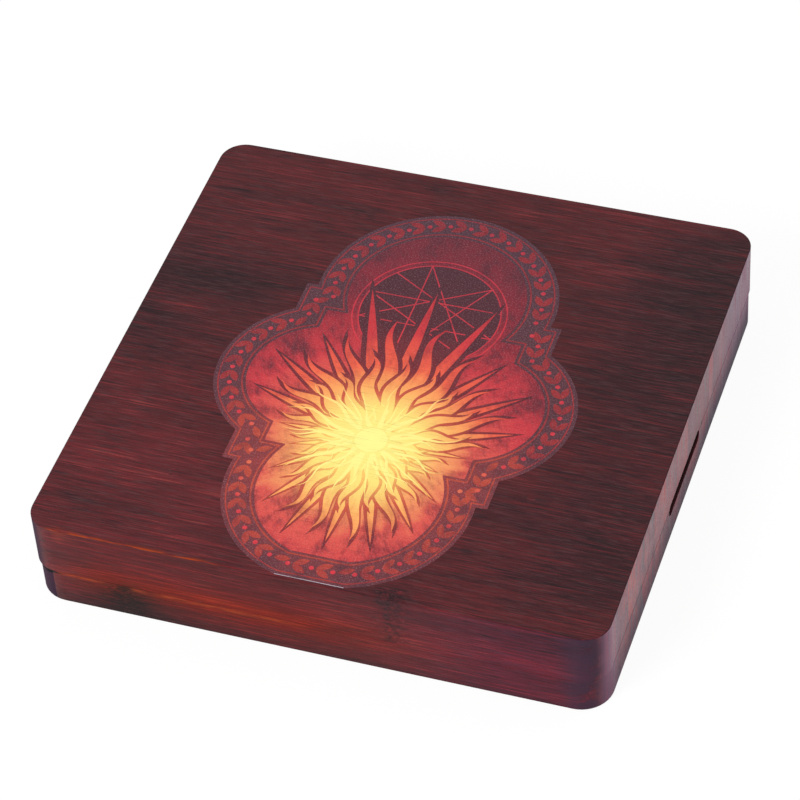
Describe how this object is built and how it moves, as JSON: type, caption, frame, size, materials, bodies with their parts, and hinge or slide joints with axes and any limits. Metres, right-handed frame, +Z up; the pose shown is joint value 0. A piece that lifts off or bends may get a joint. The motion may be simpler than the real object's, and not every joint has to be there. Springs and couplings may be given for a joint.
{
  "type": "hinged dice case",
  "caption": "Flat square bamboo case that opens like a book: dice seats in the base, a felt-lined rolling tray in the lid, a finger slot on the opening side.",
  "frame": {"origin": "centre of the base's underside, with the lid closed", "axes": "+Z up out of the lid's printed face, +X to the opening side with the finger slot, -X to the hinged spine, -Y to the front"},
  "size_m": [0.2431, 0.24, 0.0424],
  "materials": {
    "bamboo": "satin",
    "red_felt": "matte",
    "black_felt": "matte",
    "foam": "matte",
    "brass": "satin",
    "brass_screw": "satin",
    "nickel": "polished"
  },
  "bodies": {
    "base": {"base_shell": "bamboo", "seat_pad": "red_felt", "dice_insert": "foam", "base_hinge_screws": "brass_screw", "front_hinge_base_leaf": "brass", "front_hinge_pin": "brass", "front_base_magnet": "nickel", "rear_hinge_base_leaf": "brass", "rear_hinge_pin": "brass", "rear_base_magnet": "nickel"},
    "lid": {"lid_shell": "bamboo", "tray_lining": "black_felt", "lid_hinge_screws": "brass_screw", "front_hinge_lid_leaf": "brass", "front_lid_magnet": "nickel", "rear_hinge_lid_leaf": "brass", "rear_lid_magnet": "nickel"}
  },
  "joints": [
    {"name": "lid_hinge", "type": "hinge", "parent": "base", "child": "lid", "pos_m": [-0.1212, 0, 0.0172], "axis": [0, -1, 0], "range_deg": [0, 134]}
  ]
}
